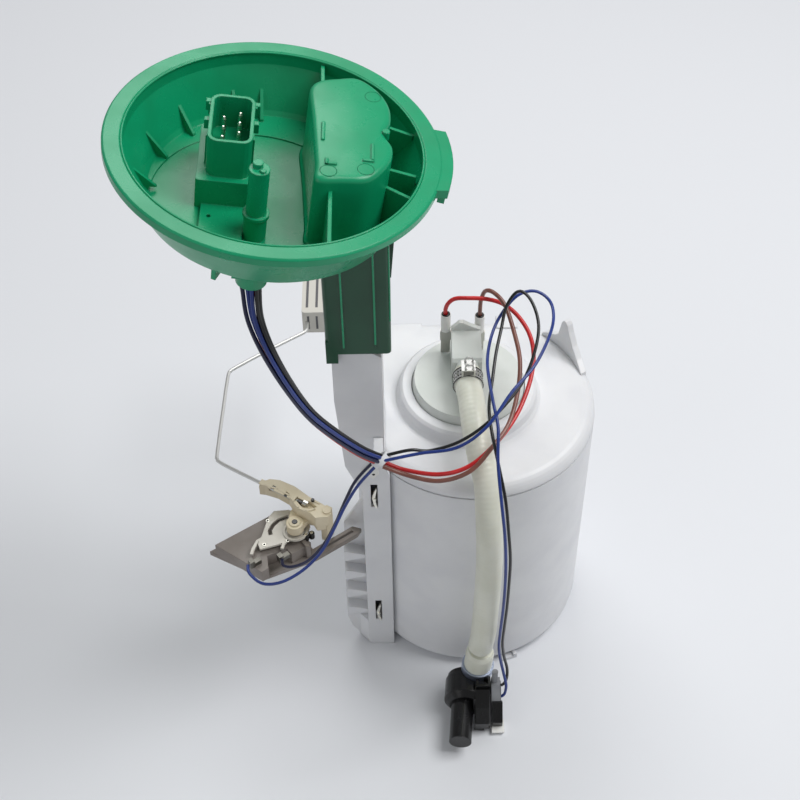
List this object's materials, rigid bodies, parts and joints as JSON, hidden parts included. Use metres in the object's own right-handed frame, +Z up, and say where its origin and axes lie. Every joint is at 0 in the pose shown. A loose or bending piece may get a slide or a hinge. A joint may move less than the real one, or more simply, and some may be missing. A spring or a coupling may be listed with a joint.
{
  "type": "fuel pump module",
  "caption": "In-tank fuel pump module: green flange bowl with connector on a sprung sliding sleeve, white swirl pot with pump, float lever, hose with quick coupling and wiring.",
  "frame": {"origin": "centre of the swirl pot's resting face, on the ground", "axes": "+Z up along the pot's axis, -Y towards the hose and its coupling, -X towards the float lever"},
  "size_m": [0.2198, 0.2442, 0.3552],
  "materials": {
    "green_plastic": "moulded, semi-gloss",
    "dark_green_plastic": "moulded, semi-gloss",
    "pin_metal": "tinned",
    "spring_steel": "drawn wire",
    "white_plastic": "natural acetal, satin",
    "cap_plastic": "natural acetal, satin",
    "can_steel": "rolled and plated",
    "magnet": "ferrite",
    "copper": "lacquered windings",
    "impeller_plastic": "phenolic",
    "strainer_mesh": "woven mesh",
    "valve_rubber": "fluoro rubber",
    "black_plastic": "moulded, semi-gloss",
    "terminal_metal": "tinned brass",
    "sleeve_plastic": "satin",
    "clamp_steel": "stainless band",
    "tray_plastic": "satin",
    "card_ceramic": "printed ceramic",
    "lever_plastic": "satin",
    "float_foam": "closed-cell foam",
    "hose_plastic": "corrugated nylon",
    "ring_metal": "satin",
    "sensor_plastic": "satin",
    "wire_dark": "smooth insulation",
    "wire_red": "smooth insulation",
    "wire_brown": "smooth insulation",
    "wire_blue": "smooth insulation"
  },
  "bodies": {
    "pot": {"guide_post": "white_plastic", "swirl_pot": "white_plastic", "pot_cover": "white_plastic", "pump_cap": "cap_plastic", "pump_can": "can_steel", "pump_magnets": "magnet", "pump_head": "cap_plastic", "pump_inlet": "cap_plastic", "inlet_strainer": "strainer_mesh", "pump_mount": "cap_plastic", "jet_nozzle": "black_plastic", "terminal_blades": "terminal_metal", "terminal_sleeves": "sleeve_plastic", "hose_clamp": "clamp_steel", "sender_tray": "tray_plastic", "sender_card": "card_ceramic", "sender_contacts": "terminal_metal", "pivot_pin": "spring_steel", "cable_tie": "sleeve_plastic", "wire_bundle": "wire_dark", "wire_red": "wire_red", "wire_brown": "wire_brown", "wire_black": "wire_dark", "wire_blue": "wire_blue", "sender_wire_near": "wire_blue", "sender_wire_far": "wire_blue", "fuel_hose": "hose_plastic", "hose_cuff": "hose_plastic", "hose_ring": "ring_metal", "coupling_body": "black_plastic", "coupling_latch": "black_plastic", "coupling_sensor": "sensor_plastic"},
    "flange": {"flange_bowl": "green_plastic", "spring_housing": "green_plastic", "connector_shroud": "green_plastic", "vent_post": "green_plastic", "connector_pins": "pin_metal", "wire_grommet": "green_plastic", "guide_sleeve": "dark_green_plastic", "return_spring": "spring_steel"},
    "rotor": {"pump_armature": "copper", "pump_shaft": "spring_steel", "pump_impeller": "impeller_plastic"},
    "valve": {"check_valve": "valve_rubber"},
    "arm": {"sender_lever": "lever_plastic", "float_wire": "spring_steel", "sender_float": "float_foam"}
  },
  "joints": [
    {"name": "flange_slide", "type": "slide", "parent": "pot", "child": "flange", "axis": [0, 0, -1], "range_m": [0, 0.025], "stiffness_N_per_m": 400, "springref_m": -0.03, "deforming": ["return_spring", "wire_bundle"]},
    {"name": "float_arm", "type": "hinge", "parent": "pot", "child": "arm", "pos_m": [-0.0928, -0.0544, 0.12], "axis": [0, 0, 1], "range_deg": [-15, 65]},
    {"name": "rotor_spin", "type": "hinge", "parent": "pot", "child": "rotor", "pos_m": [-0.0035, 0.001, 0.09], "axis": [0, 0, 1], "continuous": true},
    {"name": "valve_lift", "type": "slide", "parent": "pot", "child": "valve", "axis": [0, 0, 1], "range_m": [0, 0.0015], "stiffness_N_per_m": 20, "springref_m": -0.0005}
  ]
}
